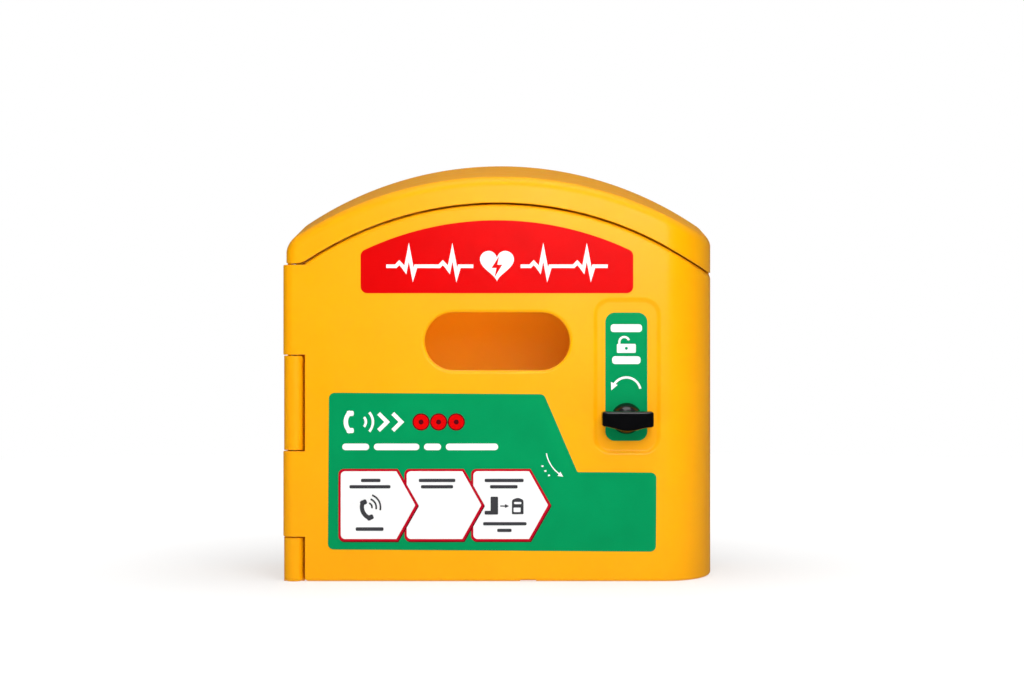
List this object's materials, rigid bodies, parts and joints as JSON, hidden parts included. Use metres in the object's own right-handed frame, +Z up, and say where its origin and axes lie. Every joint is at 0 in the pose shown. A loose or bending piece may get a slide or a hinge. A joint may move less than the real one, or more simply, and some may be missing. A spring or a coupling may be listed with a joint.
{
  "type": "defibrillator wall cabinet",
  "caption": "Yellow moulded outdoor cabinet for a defibrillator: arched hood, deep side-hinged door with clear window, labels and a quarter-turn wing knob, heated and lit inside.",
  "frame": {"origin": "centre of the base, on the surface that the cabinet stands on", "axes": "+Z up, door front faces -Y, back wall faces +Y, hinge on the -X side"},
  "size_m": [0.4596, 0.245, 0.4554],
  "materials": {
    "yellow_plastic": "semi-gloss moulded yellow plastic with a fine grain",
    "red_label": "printed vinyl label, satin laminate",
    "green_label": "printed vinyl label, satin laminate",
    "black_plastic": "glossy black moulding",
    "grey_plastic": "matt grey moulding",
    "white_plastic": "matt white moulding",
    "clear_plastic": "clear polycarbonate",
    "black_rubber": "matt black rubber",
    "steel": "plain stainless steel",
    "zinc": "plated zinc casting",
    "aluminium": "extruded aluminium"
  },
  "bodies": {
    "casing": {"rear_casing": "yellow_plastic", "door_seal": "black_rubber", "hinge_pin": "steel", "hinge_pin_plug": "black_rubber", "striker_bracket": "steel", "striker_screw_1": "steel", "striker_screw_2": "steel", "equipment_shelf": "grey_plastic", "shelf_screw_1": "steel", "shelf_screw_2": "steel", "shelf_screw_3": "steel", "shelf_screw_4": "steel", "heater": "aluminium", "heater_screw_1": "steel", "heater_screw_2": "steel", "control_box": "grey_plastic", "control_lid": "white_plastic", "control_screw_1": "steel", "control_screw_2": "steel", "light_bar": "white_plastic", "light_diffuser": "clear_plastic", "light_screw_1": "steel", "light_screw_2": "steel", "heater_lead": "black_rubber", "light_lead": "black_rubber", "lead_clip_1": "white_plastic", "lead_clip_2": "white_plastic", "cable_grommet": "black_rubber", "wall_plug_1": "black_rubber", "wall_plug_2": "black_rubber", "wall_plug_3": "black_rubber", "wall_plug_4": "black_rubber"},
    "door": {"door_shell": "yellow_plastic", "door_bush_lower": "white_plastic", "door_bush_upper": "white_plastic", "window_gasket": "black_rubber", "window_lens": "clear_plastic", "window_retainer": "grey_plastic", "window_screw_1": "steel", "window_screw_2": "steel", "window_screw_3": "steel", "window_screw_4": "steel", "window_screw_5": "steel", "window_screw_6": "steel", "title_label": "red_label", "instruction_label": "green_label", "lock_label": "green_label", "lock_housing": "zinc", "lock_washer": "steel", "lock_nut": "zinc"},
    "knob": {"turn_knob": "black_plastic", "lock_spindle": "zinc", "latch_cam": "steel", "cam_washer": "steel", "cam_nut": "zinc"}
  },
  "joints": [
    {"name": "door_hinge", "type": "hinge", "parent": "casing", "child": "door", "pos_m": [-0.21825, -0.076, 0.2], "axis": [0, 0, -1], "range_deg": [0, 170]},
    {"name": "knob_turn", "type": "hinge", "parent": "door", "child": "knob", "pos_m": [0.1338, -0.0875, 0.1728], "axis": [0, -1, 0], "range_deg": [0, 90]}
  ]
}
